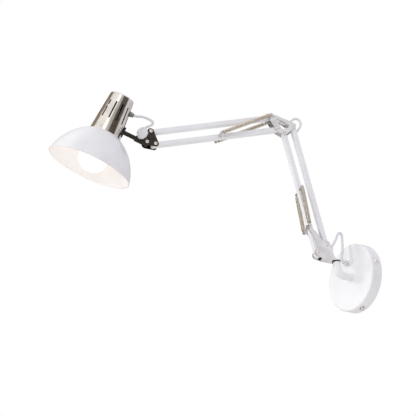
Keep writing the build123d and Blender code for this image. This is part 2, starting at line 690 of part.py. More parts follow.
def lamp_holder():
    """Holder with a screw shell, hung in the neck."""
    low = BULB_Z + 50.0
    body = bar(HOLDER_R, low, low + 40.0, "Z")
    rim = body.edges().filter_by(GeomType.CIRCLE).sort_by(Axis.Z)[-1]
    body = fillet(rim, 3.0)
    body -= bar(BULB_CAP_R + 0.3, low - 1, low + 26.0, "Z")
    nipple = bar(5.0, low + 39.0, NECK_H - NECK_WALL, "Z")
    return body + nipple - bar(3.2, low + 30.0, NECK_H, "Z")


def rod_flange():
    """Saddle flange between rod and neck."""
    flange = bar(10.8, -NECK_R - 0.6, -NECK_R + 5.0, "X")
    flange = Location((0, 0, HEAD_DROP)) * flange - neck_cone()
    return flange - Location((0, 0, HEAD_DROP)) * bar(ROD_R, -60, 0, "X")


def head_gland():
    """Cable gland on the neck with a nut inside."""
    wall = neck_radius(GLAND_Z)
    body = bar(4.0, -wall - 2, -wall + 6, "X") + bar(5.2, -wall - 4.0, -wall + 0.4, "X")
    body += bar(4.2, -wall - GLAND_REACH, -wall - 3.5, "X")
    lifted = Location((0, 0, -GLAND_Z)) * neck_cone()
    stem = bar(4.0, -wall - 2, -wall + 6, "X")
    body = (body - lifted) + stem
    nut = ring(6.0, 4.0, -wall + 2.0, -wall + 5.0, "X")
    return Location((0, 0, GLAND_Z)) * (body + nut - bar(BORE_R, -60, 0, "X"))


def build_head():
    keep("neck", HEAD * neck())
    keep("shade", HEAD * shade())
    keep("lamp_holder", HEAD * lamp_holder())
    keep("bulb_globe", HEAD * bulb_globe())
    keep("bulb_cap", HEAD * bulb_cap())
    to_axis = HEAD * Location((0, 0, HEAD_DROP))
    shank = bar(ROD_R, -HEAD_REACH + ROD_INNER, -neck_radius(HEAD_DROP), "X")
    thread = bar(ROD_R - 0.75, -neck_radius(HEAD_DROP) - 1, -22.5, "X")
    shank -= Location((0, 0, -HEAD_DROP)) * neck_cone()
    keep("head_rod", to_axis * (shank + thread))
    keep("rod_flange", HEAD * rod_flange())
    nut = ring(6.5, ROD_R - 0.75, -neck_radius(HEAD_DROP) + NECK_WALL + 1.5, -23.0, "X")
    keep("rod_nut", to_axis * nut)
    keep("head_gland", HEAD * head_gland())
    screws = []
    for angle in NECK_SCREW_ANGLES:
        wall = neck_radius(NECK_SCREW_Z)
        screw = bar(1.5, wall - 3.5, wall + 0.5, "X") + bar(2.4, wall + 0.15, wall + 1.3, "X")
        screws.append(Location((0, 0, 0), (0, 0, angle)) * Location((0, 0, NECK_SCREW_Z)) * screw)
    keep("neck_screws", group([HEAD * s for s in screws]))
    keep("cable_head_side", cable_tube(head_loop(), "cable_head_side", 9.0))


# ---------------------------------------------------------------- springs


def spring_half(length):
    """One half of a coil spring along X from its eye, on both sides of the arm."""
    halves = []
    for side in (1, -1):
        eye = bar(EYE_R, side * SPRING_W - EYE_T / 2, side * SPRING_W + EYE_T / 2, "Y")
        coil = Location((0, side * SPRING_W, 0)) * bar(SPRING_R, 7.0, length, "X")
        neck_bar = block((0, side * SPRING_W - EYE_T / 2, -1.2), (8.0, side * SPRING_W + EYE_T / 2, 1.2))
        half = eye + coil + neck_bar - bar(BOLT_R + RUN_FIT, -30, 30, "Y")
        halves.append(half)
    return halves


def build_springs():
    for name, stud, pin in (("lower", H1, Q1), ("upper", H2, Q2)):
        half = distance(stud, pin) / 2 - SPRING_GAP
        at_stud, at_pin = frame(stud, bearing(stud, pin)), frame(pin, bearing(pin, stud))
        keep(name + "_spring_stud_half", group([at_stud * s for s in spring_half(half)]))
        keep(name + "_spring_pin_half", group([at_pin * s for s in spring_half(half)]))


# ---------------------------------------------------------------- cable routes

LOWER_TURN = 22.0
APEX = (13.3, -36.5, 91.0)
WALL_LOOP = [
    (0, -8, TERMINAL_Z + 8), (0, -8, GLAND_UP), (0, -38.6, GLAND_UP), (5.0, -33.5, 50), (12.4, -32.0, 84),
    (13.0, -32.5, 90.5), APEX,
]


def in_plane(points):
    """Points (u, v) of the arm plane as (u, across, v)."""
    return [(u, 0, v) for u, v in points]


def part_way(first, second, share=0.5):
    """Point at a share of a straight run between two points."""
    return tuple(a + (b - a) * share for a, b in zip(first, second))


SHOULDER_LOOP = [APEX, (13.6, -40.5, 91.5), (8.4, -48.5, 73.5)] + arm_points(
    [(4.6, 2.4, 61.5), (5.1, 1.2, 50.5), (9.6, 0, 47.9)]
    + in_plane([along(P2, LOWER_ANGLE, -13.4), along(P2, LOWER_ANGLE, LOWER_TURN)])
)
LOWER_RUN = in_plane([along(P2, LOWER_ANGLE, LOWER_TURN), along(P2, LOWER_ANGLE, LOWER_LENGTH - 34)])
RING_TOP = ((P4[0] - 16.5, 0, P4[1] + 21.5), (P4[0] - 4.5, 0, P4[1] + 19.0))
ELBOW_REAR_LOOP = in_plane([
    along(P2, LOWER_ANGLE, LOWER_LENGTH - 34), along(P2, LOWER_ANGLE, LOWER_LENGTH - 17),
    shift(P4, (-13.0, -6.0)), shift(P4, (-22.0, 9.5)),
]) + [RING_TOP[0], part_way(*RING_TOP)]
ELBOW_FRONT_LOOP = [part_way(*RING_TOP), RING_TOP[1]] + in_plane([
    shift(P4, (6.5, 8.0)), shift(P4, (18.5, 10.0)),
    along(P6, UPPER_ANGLE, -12.0), along(P6, UPPER_ANGLE, 8.0),
])
UPPER_RUN = in_plane([along(P6, UPPER_ANGLE, 8.0), along(P7, UPPER_ANGLE, -8.0)])
BEHIND = ((P7[0] + 11.0, 0.3, P7[1] + 11.0), (P7[0] - 9.5, 3.5, P7[1] + 17.2))
OVER = ((P7[0] - 6.5, 8.5, P7[1] + 24.2), (P7[0] + 16.0, 13.5, P7[1] + 29.3))
BRACKET_LOOP = in_plane([along(P7, UPPER_ANGLE, -8.0), along(P7, UPPER_ANGLE, 13.8)]) + [
    BEHIND[0], part_way(*BEHIND),
]
OVER_SPLIT = part_way(*OVER, 0.62)
CLAMP_LOOP = [part_way(*BEHIND), BEHIND[1], OVER[0], OVER_SPLIT]


def head_loop():
    """Last stretch of cable, straight into the gland on the neck."""
    wall = neck_radius(GLAND_Z)
    gland_line = [(-wall - GLAND_REACH - 4.0, 0, GLAND_Z), (-wall + 6.0, 0, GLAND_Z)]
    return arm_points([OVER_SPLIT, OVER[1]]) + [tuple((HEAD * Location(p)).position) for p in gland_line]


def export_all():
    os.makedirs("parts", exist_ok=True)
    for name, shape in parts.items():
        export_step(shape, "parts/" + name + ".step")


build_base()
build_shoulder()
build_lower_arm()
build_elbow()
build_upper_arm()
build_clamp()
build_head()
build_springs()
export_all()
print(len(parts), "nodes")
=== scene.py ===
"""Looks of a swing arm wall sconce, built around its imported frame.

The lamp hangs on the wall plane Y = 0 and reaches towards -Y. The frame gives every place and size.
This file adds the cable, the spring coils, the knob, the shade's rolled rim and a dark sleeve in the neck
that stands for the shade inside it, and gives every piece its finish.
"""

import json
import math

import bpy
import numpy as np
from mathutils import Matrix, Vector


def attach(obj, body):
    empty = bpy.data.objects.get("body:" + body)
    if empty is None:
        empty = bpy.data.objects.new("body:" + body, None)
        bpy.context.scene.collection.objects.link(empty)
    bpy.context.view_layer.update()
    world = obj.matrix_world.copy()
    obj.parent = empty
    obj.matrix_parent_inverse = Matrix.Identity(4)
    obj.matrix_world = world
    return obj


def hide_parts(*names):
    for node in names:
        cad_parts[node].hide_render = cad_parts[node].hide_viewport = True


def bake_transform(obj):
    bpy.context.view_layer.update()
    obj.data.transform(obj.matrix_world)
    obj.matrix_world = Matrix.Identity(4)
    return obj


bl_info = {
    "name": "Swing Arm Wall Sconce",
    "version": (1, 0, 0),
    "blender": (4, 5, 0),
    "location": "View3D > Sidebar > Sconce",
    "description": "Builds the cable, springs, moulded pieces and finishes of a swing arm wall sconce",
    "category": "Add Mesh",
}

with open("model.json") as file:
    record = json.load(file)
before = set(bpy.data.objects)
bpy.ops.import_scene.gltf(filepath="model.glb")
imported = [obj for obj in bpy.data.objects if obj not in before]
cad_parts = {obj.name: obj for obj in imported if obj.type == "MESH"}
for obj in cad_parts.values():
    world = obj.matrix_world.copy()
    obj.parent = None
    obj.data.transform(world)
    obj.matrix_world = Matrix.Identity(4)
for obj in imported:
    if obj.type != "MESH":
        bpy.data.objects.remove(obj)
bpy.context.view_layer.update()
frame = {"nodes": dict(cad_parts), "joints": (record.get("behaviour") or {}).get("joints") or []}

SLOT_OF = {
    name: piece.material_slots[0].material.name.split(".")[0] for name, piece in frame["nodes"].items()
}

MM = 0.001
TAU = 2 * math.pi

# ---------------------------------------------------------------- places read from the frame

PIVOT = {j["name"]: np.array(j["pos_m"]) for j in frame["joints"]}
AXIS = {j["name"]: np.array(j["axis"]) for j in frame["joints"]}
UP = np.array((0.0, 0.0, 1.0))
SIDE = -AXIS["lower_arm"]                       # across the arm, towards the knob
OUT = np.array((SIDE[1], -SIDE[0], 0.0))        # along the arm, away from the wall
POST = np.array((PIVOT["swing"][0], PIVOT["swing"][1], 0.0))


def unit(vector):
    """The vector at length one."""
    return vector / np.linalg.norm(vector)


def arm_point(u, w, v):
    """Point u outwards from the post's axis, w across and v up, in millimetres."""
    return POST + (u * OUT + w * SIDE + v * UP) * MM


def off(pivot, u, w, v):
    """Point u outwards, w across and v up from a named pivot, in millimetres."""
    return PIVOT[pivot] + (u * OUT + w * SIDE + v * UP) * MM


def beyond(pivot, direction, reach):
    """Point reach millimetres from a named pivot along a unit direction."""
    return PIVOT[pivot] + direction * reach * MM


def part_way(first, second, share=0.5):
    """Point at a share of the way between two points."""
    return first + (second - first) * share


LOWER = unit(PIVOT["elbow_level"] - PIVOT["lower_arm"])      # along the lower arm
UPPER = unit(PIVOT["head_level"] - PIVOT["upper_arm"])       # along the upper arm
LOWER_LENGTH = np.linalg.norm(PIVOT["elbow_level"] - PIVOT["lower_arm"]) / MM

# The head's own axes: X runs on from the rod, Z up the neck from the top of the shade.
HEAD_SWIVEL = math.radians(24.0)
HEAD_REACH = 80.0
HEAD_DROP = 20.0
HEAD_X = -AXIS["swivel"]
ROD_UP = np.cross(HEAD_X, SIDE)
HEAD_Z = math.cos(HEAD_SWIVEL) * ROD_UP + math.sin(HEAD_SWIVEL) * SIDE
HEAD_Y = np.cross(HEAD_Z, HEAD_X)
HEAD = PIVOT["tilt"] + (HEAD_REACH * HEAD_X - HEAD_DROP * HEAD_Z) * MM


def head_point(x, y, z):
    """Point in the head's own axes, in millimetres."""
    return HEAD + (x * HEAD_X + y * HEAD_Y + z * HEAD_Z) * MM


# ---------------------------------------------------------------- cable route

CABLE_R = 2.5
NECK_R = 32.0                                   # neck's outside radius where it stands on the shade
NECK_TAPER = 7.5 / 83.0                         # its loss of radius to each unit of height
NECK_ROUND_Z = 80.0                             # height at which the rounding of its closed top begins
NECK_WALL_AT_GLAND = 26.7                       # neck's radius at the gland's height
SHADE_R = 85.0
SHADE_H = 73.3
GLAND_REACH = 8.5
GLAND_Z = 59.0
APEX = np.array((13.3, -36.5, 91.0)) * MM
LOWER_IN = beyond("lower_arm", LOWER, 22.0)
LOWER_OUT = beyond("lower_arm", LOWER, LOWER_LENGTH - 34)
UPPER_IN = beyond("upper_arm", UPPER, 8.0)
UPPER_OUT = beyond("head_level", UPPER, -8.0)
RING_TOP = (off("elbow_level", -16.5, 0, 21.5), off("elbow_level", -4.5, 0, 19.0))
BEHIND = (off("head_level", 11.0, 0.3, 11.0), off("head_level", -9.5, 3.5, 17.2))
OVER = (off("head_level", -6.5, 8.5, 24.2), off("head_level", 16.0, 13.5, 29.3))
OVER_SPLIT = part_way(*OVER, 0.62)

WALL_LOOP = [
    np.array(p) * MM
    for p in ((0, -8, -30), (0, -8, 32), (0, -38.6, 32), (5, -33.5, 50), (12.4, -32, 84), (13, -32.5, 90.5))
] + [APEX]
SHOULDER_LOOP = [
    APEX,
    np.array((13.6, -40.5, 91.5)) * MM,
    np.array((8.4, -48.5, 73.5)) * MM,
    arm_point(4.6, 2.4, 61.5),
    arm_point(5.1, 1.2, 50.5),
    arm_point(9.6, 0, 47.9),
    beyond("lower_arm", LOWER, -13.4),
    LOWER_IN,
]
ELBOW_REAR = [
    LOWER_OUT,
    beyond("lower_arm", LOWER, LOWER_LENGTH - 17),
    off("elbow_level", -13.0, 0, -6.0),
    off("elbow_level", -22.0, 0, 9.5),
    RING_TOP[0],
    part_way(*RING_TOP),
]
ELBOW_FRONT = [
    part_way(*RING_TOP),
    RING_TOP[1],
    off("elbow_level", 6.5, 0, 8.0),
    off("elbow_level", 18.5, 0, 10.0),
    beyond("upper_arm", UPPER, -12.0),
    UPPER_IN,
]
BRACKET_LOOP = [UPPER_OUT, beyond("head_level", UPPER, 13.8), BEHIND[0], part_way(*BEHIND)]
CLAMP_LOOP = [part_way(*BEHIND), BEHIND[1], OVER[0], OVER_SPLIT]
HEAD_LOOP = [
    OVER_SPLIT,
    OVER[1],
    head_point(-NECK_WALL_AT_GLAND - GLAND_REACH - 4.0, 0, GLAND_Z),
    head_point(-NECK_WALL_AT_GLAND + 6.0, 0, GLAND_Z),
]

# piece, CAD node, route, real length in mm, bodies that it bends between or rides on
CABLES = (
    ("cable_wall_loop", "cable_wall_side", WALL_LOOP, 150.0, ("base", "shoulder")),
    ("cable_shoulder_loop", "cable_shoulder_side", SHOULDER_LOOP, 94.8, ("shoulder", "lower_rear_arm")),
    ("cable_in_lower_tube", "cable_lower_run", [LOWER_IN, LOWER_OUT], 227.0, ("lower_rear_arm",)),
    ("cable_elbow_rear_loop", "cable_elbow_rear", ELBOW_REAR, 67.0, ("lower_rear_arm", "elbow")),
    ("cable_elbow_front_loop", "cable_elbow_front", ELBOW_FRONT, 67.9, ("elbow", "upper_top_arm")),
    ("cable_in_upper_tube", "cable_upper_run", [UPPER_IN, UPPER_OUT], 257.0, ("upper_top_arm",)),
    ("cable_bracket_loop", "cable_bracket_side", BRACKET_LOOP, 41.0, ("upper_top_arm", "head_link")),
    ("cable_clamp_loop", "cable_clamp_side", CLAMP_LOOP, 32.2, ("head_link", "clamp")),
    ("cable_head_loop", "cable_head_side", HEAD_LOOP, 41.9, ("clamp", "head")),
)

# ---------------------------------------------------------------- mesh makers


def add_mesh(name, points, faces, smooth=True):
    """New mesh object from an array of points and a list or array of faces."""
    mesh = bpy.data.meshes.new(name)
    corners = np.asarray(points, float).reshape(-1, 3).tolist()
    mesh.from_pydata(corners, [], [list(map(int, f)) for f in faces])
    mesh.polygons.foreach_set("use_smooth", np.full(len(mesh.polygons), smooth))
    mesh.update()
    piece = bpy.data.objects.new(name, mesh)
    bpy.context.scene.collection.objects.link(piece)
    return piece


def grid_faces(rows, columns, first=0, closed=False):
    """Quads of a grid of points that is closed round its columns, and round its rows if asked."""
    steps = rows if closed else rows - 1
    r, c = np.meshgrid(np.arange(steps), np.arange(columns), indexing="ij")
    r_next, c_next = (r + 1) % rows, (c + 1) % columns
    near, far = r * columns, r_next * columns
    quads = np.stack((near + c, near + c_next, far + c_next, far + c), -1)
    return (quads.reshape(-1, 4) + first).tolist()


def sweep(path, radius, sides, reference):
    """Round tube along a path: each ring lies across the path's tangent, its first direction the part of
    the reference vector that is square to the tangent. Returns points, and faces with closed ends."""
    path = np.asarray(path, float)
    tangent = np.gradient(path, axis=0)
    tangent /= np.linalg.norm(tangent, axis=1, keepdims=True)
    across = reference - (tangent @ reference)[:, None] * tangent
    across /= np.linalg.norm(across, axis=1, keepdims=True)
    up = np.cross(tangent, across)
    turn = np.arange(sides) * TAU / sides
    ring = np.cos(turn)[None, :, None] * across[:, None, :] + np.sin(turn)[None, :, None] * up[:, None, :]
    points = (path[:, None, :] + radius * ring).reshape(-1, 3)
    rows = len(path)
    faces = grid_faces(rows, sides)
    faces.append(list(range(sides))[::-1])
    faces.append([(rows - 1) * sides + i for i in range(sides)])
    return points, faces


def joined(items):
    """Points and faces of several meshes in one."""
    points, faces, first = [], [], 0
    for these_points, these_faces in items:
        points.append(these_points)
        faces += [[i + first for i in f] for f in these_faces]
        first += len(these_points)
    return np.concatenate(points), faces


def lathe(profile, origin, axes, segments):
    """Solid of revolution: each (radius, height) of a closed profile goes round the third axis.
    Its ends are closed with faces; a profile meant to start and end on the axis keeps a small radius there
    itself."""
    profile = np.asarray(profile, float)
    turn = np.arange(segments) * TAU / segments
    x_axis, y_axis, z_axis = axes
    ring = np.cos(turn)[:, None] * x_axis + np.sin(turn)[:, None] * y_axis
    points = origin + MM * (profile[:, None, :1] * ring[None] + profile[:, None, 1:] * z_axis)
    rows = len(profile)
    faces = grid_faces(rows, segments)
    faces.append(list(range(segments))[::-1])
    faces.append([(rows - 1) * segments + i for i in range(segments)])
    return points.reshape(-1, 3), faces


def arc(centre, radius, start, end, count):
    """Points on a circle in the profile's plane between two angles in degrees."""
    angle = np.radians(np.linspace(start, end, count))
    return np.stack((centre[0] + radius * np.cos(angle), centre[1] + radius * np.sin(angle)), -1)


def spline_points(route):
    """Points of the smooth line that a route controls: a NURBS spline of order 3."""
    curve = bpy.data.curves.new("route", "CURVE")
    curve.dimensions = "3D"
    curve.resolution_u = 10
    spline = curve.splines.new("NURBS")
    spline.points.add(len(route) - 1)
    spline.points.foreach_set("co", np.column_stack((np.array(route), np.ones(len(route)))).ravel())
    spline.order_u = min(3, len(route))
    spline.use_endpoint_u = True
    holder = bpy.data.objects.new("route", curve)
    bpy.context.scene.collection.objects.link(holder)
    bpy.context.view_layer.update()
    mesh = bpy.data.meshes.new_from_object(holder)
    points = np.zeros(len(mesh.vertices) * 3)
    mesh.vertices.foreach_get("co", points)
    bpy.data.objects.remove(holder)
    bpy.data.curves.remove(curve)
    bpy.data.meshes.remove(mesh)
    return points.reshape(-1, 3)


def keep_sharp_edges(piece):
    """Smooth shading that keeps edges sharper than 35 degrees."""
    piece.data.set_sharp_from_angle(angle=math.radians(35))


def fix_normals(piece):
    """Turns every face of a closed mesh outwards."""
    bpy.context.view_layer.objects.active = piece
    piece.select_set(True)
    bpy.ops.object.mode_set(mode="EDIT")
    bpy.ops.mesh.select_all(action="SELECT")
    bpy.ops.mesh.normals_make_consistent(inside=False)
    bpy.ops.object.mode_set(mode="OBJECT")
    piece.select_set(False)


# ---------------------------------------------------------------- materials


def srgb(code):
    """Linear colour of a hex value such as F4F4F2."""
    values = [int(code[i:i + 2], 16) / 255 for i in (0, 2, 4)]
    return [v / 12.92 if v <= 0.04045 else ((v + 0.055) / 1.055) ** 2.4 for v in values] + [1.0]


def node(material, kind, inputs=None, **settings):
    """Adds a shader node with its settings and its inputs: a value, or a socket to link from."""
    made = material.node_tree.nodes.new(kind)
    for key, value in settings.items():
        setattr(made, key, value)
    for key, value in (inputs or {}).items():
        socket = made.inputs[key]
        if not socket.enabled:
            socket = next(i for i in made.inputs if i.name == key and i.enabled)
        if isinstance(value, bpy.types.NodeSocket):
            material.node_tree.links.new(value, socket)
        else:
            socket.default_value = value
    return made


def enabled(made):
    """The output in use of a node that has one for each kind of value."""
    return next(o for o in made.outputs if o.enabled)


def new_material(name):
    """Empty node material and its output node."""
    material = bpy.data.materials.new(name)
    material.use_nodes = True
    material.node_tree.nodes.clear()
    return material, node(material, "ShaderNodeOutputMaterial")


def noise(material, size_mm, detail=3.0, stretch=(1, 1, 1)):
    """Noise on object coordinates whose grain is about size_mm, stretched along an axis."""
    place = node(material, "ShaderNodeTexCoord")
    mapping = node(material, "ShaderNodeMapping", {"Vector": place.outputs["Object"], "Scale": stretch})
    return node(
        material,
        "ShaderNodeTexNoise",
        {"Vector": mapping.outputs["Vector"], "Scale": 1000.0 / size_mm, "Detail": detail},
    )


def blend_colours(material, factor, dark, light, low=0.35, high=0.65):
    """Colour ramp between two hex colours over a factor."""
    ramp = node(material, "ShaderNodeValToRGB", {"Fac": factor})
    ramp.color_ramp.elements[0].position = low
    ramp.color_ramp.elements[0].color = srgb(dark)
    ramp.color_ramp.elements[1].position = high
    ramp.color_ramp.elements[1].color = srgb(light)
    return ramp.outputs["Color"]


def roughness_band(material, factor, low, high):
    """Roughness that wanders between two values with a factor."""
    band = node(material, "ShaderNodeMapRange", {"Value": factor, "To Min": low, "To Max": high})
    return band.outputs["Result"]


def bump(material, factor, depth_mm, strength=1.0):
    """Normal from a height pattern of depth_mm."""
    made = node(
        material,
        "ShaderNodeBump",
        {"Height": factor, "Distance": depth_mm * MM, "Strength": strength},
    )
    return made.outputs["Normal"]


def finish(material, output, **inputs):
    """Principled shader with its inputs, linked to the material's output."""
    named = {key.replace("_", " "): value for key, value in inputs.items()}
    shader = node(material, "ShaderNodeBsdfPrincipled", named)
    material.node_tree.links.new(shader.outputs["BSDF"], output.inputs["Surface"])
    return material


def powder_coated_steel():
    """Semi-gloss white powder coat: faint orange peel of about 1.2 mm, and a slightly uneven gloss."""
    material, output = new_material("powder_coated_steel_white")
    peel = noise(material, 1.2, 2.0)
    patches = noise(material, 35.0, 2.0)
    return finish(
        material,
        output,
        Base_Color=blend_colours(material, patches.outputs["Fac"], "EFEFF1", "F5F5F6"),
        Roughness=roughness_band(material, patches.outputs["Fac"], 0.28, 0.42),
        IOR=1.5,
        Coat_Weight=0.25,
        Coat_Roughness=0.15,
        Normal=bump(material, peel.outputs["Fac"], 0.012),
    )


def zinc_plated_steel():
    """Zinc plated pressed steel: blue-grey, dull, with spangle patches of about 3 mm."""
    material, output = new_material("zinc_plated_steel")
    spangle = noise(material, 3.0, 4.0)
    grain = noise(material, 0.5, 2.0)
    return finish(
        material,
        output,
        Base_Color=blend_colours(material, spangle.outputs["Fac"], "A9ABAD", "CDCFD0"),
        Metallic=1.0,
        Roughness=roughness_band(material, spangle.outputs["Fac"], 0.3, 0.5),
        Normal=bump(material, grain.outputs["Fac"], 0.01),
    )


def satin_nickel():
    """Satin nickel plate on pressed steel: fine polishing lines about 0.4 mm apart, drawn that coarse to
    show."""
    material, output = new_material("satin_nickel_plate")
    lines = noise(material, 6.0, 3.0, (1.0, 1.0, 14.0))
    patches = noise(material, 18.0, 2.0)
    return finish(
        material,
        output,
        Base_Color=blend_colours(material, patches.outputs["Fac"], "D3D1D2", "E9E7E8"),
        Metallic=1.0,
        Roughness=roughness_band(material, lines.outputs["Fac"], 0.22, 0.38),
        Normal=bump(material, lines.outputs["Fac"], 0.004),
    )


def bright_nickel():
    """Bright nickel plate, polished: near-mirror with faint waviness of about 9 mm."""
    material, output = new_material("bright_nickel_plate")
    waves = noise(material, 9.0, 2.0)
    smears = noise(material, 25.0, 3.0)
    return finish(
        material,
        output,
        Base_Color=blend_colours(material, smears.outputs["Fac"], "DDD8D2", "F0ECE7"),
        Metallic=1.0,
        Roughness=roughness_band(material, smears.outputs["Fac"], 0.06, 0.16),
        Normal=bump(material, waves.outputs["Fac"], 0.02),
    )


def nickel_with_painted_shade_inside():
    """Bright nickel plate outside and painted shade inside: near black and not metallic, so that the slots
    look dark. The inside is what lies more than 0.15 mm within the tapered outer surface, below the closed
    top."""
    material = bright_nickel()
    material.name = "bright_nickel_plate_painted_shade_inside"
    shader = next(n for n in material.node_tree.nodes if n.type == "BSDF_PRINCIPLED")
    place = node(material, "ShaderNodeTexCoord")
    from_head = node(
        material, "ShaderNodeVectorMath", {0: place.outputs["Object"], 1: tuple(HEAD)}, operation="SUBTRACT"
    )
    height = node(
        material, "ShaderNodeVectorMath", {0: from_head.outputs[0], 1: tuple(HEAD_Z)}, operation="DOT_PRODUCT"
    )
    sideways = node(
        material, "ShaderNodeVectorMath",
        {0: from_head.outputs[0], 1: tuple(HEAD_Z)}, operation="CROSS_PRODUCT",
    )
    radius = node(material, "ShaderNodeVectorMath", {0: sideways.outputs[0]}, operation="LENGTH")
    outside = node(
        material, "ShaderNodeMath",
        {0: height.outputs["Value"], 1: -NECK_TAPER, 2: (NECK_R - 0.15) * MM}, operation="MULTIPLY_ADD",
    )
    within = node(
        material, "ShaderNodeMath", {0: radius.outputs["Value"], 1: outside.outputs[0]}, operation="LESS_THAN"
    )
    below = node(
        material, "ShaderNodeMath", {0: height.outputs["Value"], 1: NECK_ROUND_Z * MM}, operation="LESS_THAN"
    )
    # mask of the painted shade: inside the neck's wall and below its closed top
    inner = node(
        material, "ShaderNodeMath", {0: within.outputs[0], 1: below.outputs[0]}, operation="MULTIPLY"
    )
    # painted shade: the neck's inside is drawn near black (0B0A0A) and not metallic, so the slots look dark
    plated = shader.inputs["Base Color"].links[0].from_socket
    mixed = node(
        material, "ShaderNodeMix",
        {"Factor": inner.outputs[0], "A": plated, "B": srgb("0B0A0A")}, data_type="RGBA",
    )
    material.node_tree.links.new(enabled(mixed), shader.inputs["Base Color"])
    bare = node(material, "ShaderNodeMath", {0: 1.0, 1: inner.outputs[0]}, operation="SUBTRACT")
    material.node_tree.links.new(bare.outputs[0], shader.inputs["Metallic"])
    return material


def black_nickel():
    """Black nickel plate: dark and glossy, a little worn to grey in patches of about 4 mm."""
    material, output = new_material("black_nickel_plate")
    wear = noise(material, 4.0, 4.0)
    return finish(
        material,
        output,
        Base_Color=blend_colours(material, wear.outputs["Fac"], "2B2725", "4A443F"),
        Metallic=1.0,
        Roughness=roughness_band(material, wear.outputs["Fac"], 0.12, 0.26),
        Normal=bump(material, wear.outputs["Fac"], 0.004),
    )


def spring_steel():
    """Oiled drawn spring wire: warm grey with fine drawing marks."""
    material, output = new_material("drawn_spring_steel")
    marks = noise(material, 1.5, 3.0)
    return finish(
        material,
        output,
        Base_Color=blend_colours(material, marks.outputs["Fac"], "C4B9AA", "EDE4D8"),
        Metallic=1.0,
        Roughness=roughness_band(material, marks.outputs["Fac"], 0.2, 0.36),
    )


def plastic(name, dark, light, low, high, grain_mm, depth_mm, **more):
    """Moulded plastic: two close colours, a roughness band, and the mould's grain."""
    material, output = new_material(name)
    patches = noise(material, 12.0, 2.0)
    grain = noise(material, grain_mm, 2.0)
    return finish(
        material,
        output,
        Base_Color=blend_colours(material, patches.outputs["Fac"], dark, light),
        Roughness=roughness_band(material, patches.outputs["Fac"], low, high),
        Normal=bump(material, grain.outputs["Fac"], depth_mm),
        **more,
    )


def white_nylon():
    """Smooth moulded nylon: clean white with a soft gloss."""
    return plastic("moulded_nylon_white", "E9E9E8", "F1F1F0", 0.3, 0.42, 0.8, 0.006, IOR=1.53)


def clear_polypropylene():
    """Natural polypropylene: milky, lets some light through its lobes, smooth gloss."""
    return plastic(
        "natural_polypropylene", "EDEDEE", "F8F8F8", 0.16, 0.28, 0.9, 0.006,
        IOR=1.49, Subsurface_Weight=0.6, Subsurface_Radius=(0.004, 0.004, 0.004), Transmission_Weight=0.12,
    )


def grey_nylon():
    """Moulded grey nylon of cable glands: fine matt grain."""
    return plastic("moulded_nylon_grey", "7C7874", "969290", 0.42, 0.55, 0.5, 0.01, IOR=1.53)


def black_phenolic():
    """Moulded black phenolic resin of lamp holders: dull, slightly mottled."""
    return plastic("moulded_phenolic_black", "161515", "242322", 0.38, 0.55, 0.7, 0.01, IOR=1.6)


def white_pvc():
    """Extruded soft PVC sheath: white, slightly dusty, with fine draw lines round the cable."""
    return plastic("extruded_pvc_white", "E4E5E8", "EFEFF1", 0.38, 0.5, 1.0, 0.008, IOR=1.53)


def brass():
    """Turned brass: warm yellow with tarnish patches of about 5 mm."""
    material, output = new_material("turned_brass")
    tarnish = noise(material, 5.0, 4.0)
    return finish(
        material,
        output,
        Base_Color=blend_colours(material, tarnish.outputs["Fac"], "A8853F", "D2B26A"),
        Metallic=1.0,
        Roughness=roughness_band(material, tarnish.outputs["Fac"], 0.18, 0.32),
    )


def opal_glass():
    """Opal glass of the lit globe: its white inside glows warm and evenly, under a glossy skin."""
    material, output = new_material("opal_glass_lit")
    cloud = noise(material, 20.0, 2.0)
    look = bpy.context.scene.sconce_finish
    return finish(
        material,
        output,
        Base_Color=blend_colours(material, cloud.outputs["Fac"], "FBF6EE", "FFFCF6"),
        Roughness=0.08,
        IOR=1.5,
        Coat_Weight=0.5,
        Emission_Color=srgb("FFEBD6"),
        Emission_Strength=look.bulb_glow,
    )


# record slot, or a name of this file's own in the first line, and the function that makes its material
FINISHES = {
    "neck_nickel": nickel_with_painted_shade_inside,
    "white_paint": powder_coated_steel,
    "zinc_steel": zinc_plated_steel,
    "satin_nickel": satin_nickel,
    "bright_nickel": bright_nickel,
    "black_nickel": black_nickel,
    "spring_steel": spring_steel,
    "white_plastic": white_nylon,
    "clear_plastic": clear_polypropylene,
    "grey_plastic": grey_nylon,
    "black_plastic": black_phenolic,
    "white_pvc": white_pvc,
    "brass_fitting": brass,
    "opal_glass": opal_glass,
}
made_finishes = {}


def finish_for(slot):
    """The material of a slot in FINISHES, made once."""
    if slot not in made_finishes:
        made_finishes[slot] = FINISHES[slot]()
    return made_finishes[slot]


def dress(piece, slot):
    """Gives a new piece the finish of a slot."""
    piece.data.materials.clear()
    piece.data.materials.append(finish_for(slot))


# ---------------------------------------------------------------- properties


class SconceView(bpy.types.PropertyGroup):
    """Camera and light."""

    lens: bpy.props.FloatProperty(name="Lens", description="Focal length of the camera", default=202.5)
    distance: bpy.props.FloatProperty(
        name="Distance", description="Distance from camera to lamp", default=4.57711, unit="LENGTH"
    )
    floor_drop: bpy.props.FloatProperty(
        name="Floor", description="How far the floor lies below the lamp", default=2.6, unit="LENGTH"
    )
    key_power: bpy.props.FloatProperty(
        name="Key light", description="Power of the main soft light", default=22.0
    )
    fill_power: bpy.props.FloatProperty(
        name="Fill light", description="Power of the fill light", default=4.0
    )


class SconceFinish(bpy.types.PropertyGroup):
    """Finish values that a user would change."""

    bulb_glow: bpy.props.FloatProperty(
        name="Bulb glow", description="Brightness of the lit globe", default=1.6
    )


class SconceCable(bpy.types.PropertyGroup):
    """Cable sizes."""

    radius: bpy.props.FloatProperty(
        name="Radius", description="Radius of the cable's sheath", default=CABLE_R * MM, unit="LENGTH"
    )
    sides: bpy.props.IntProperty(name="Sides", description="Points round the sheath", default=20, min=8)


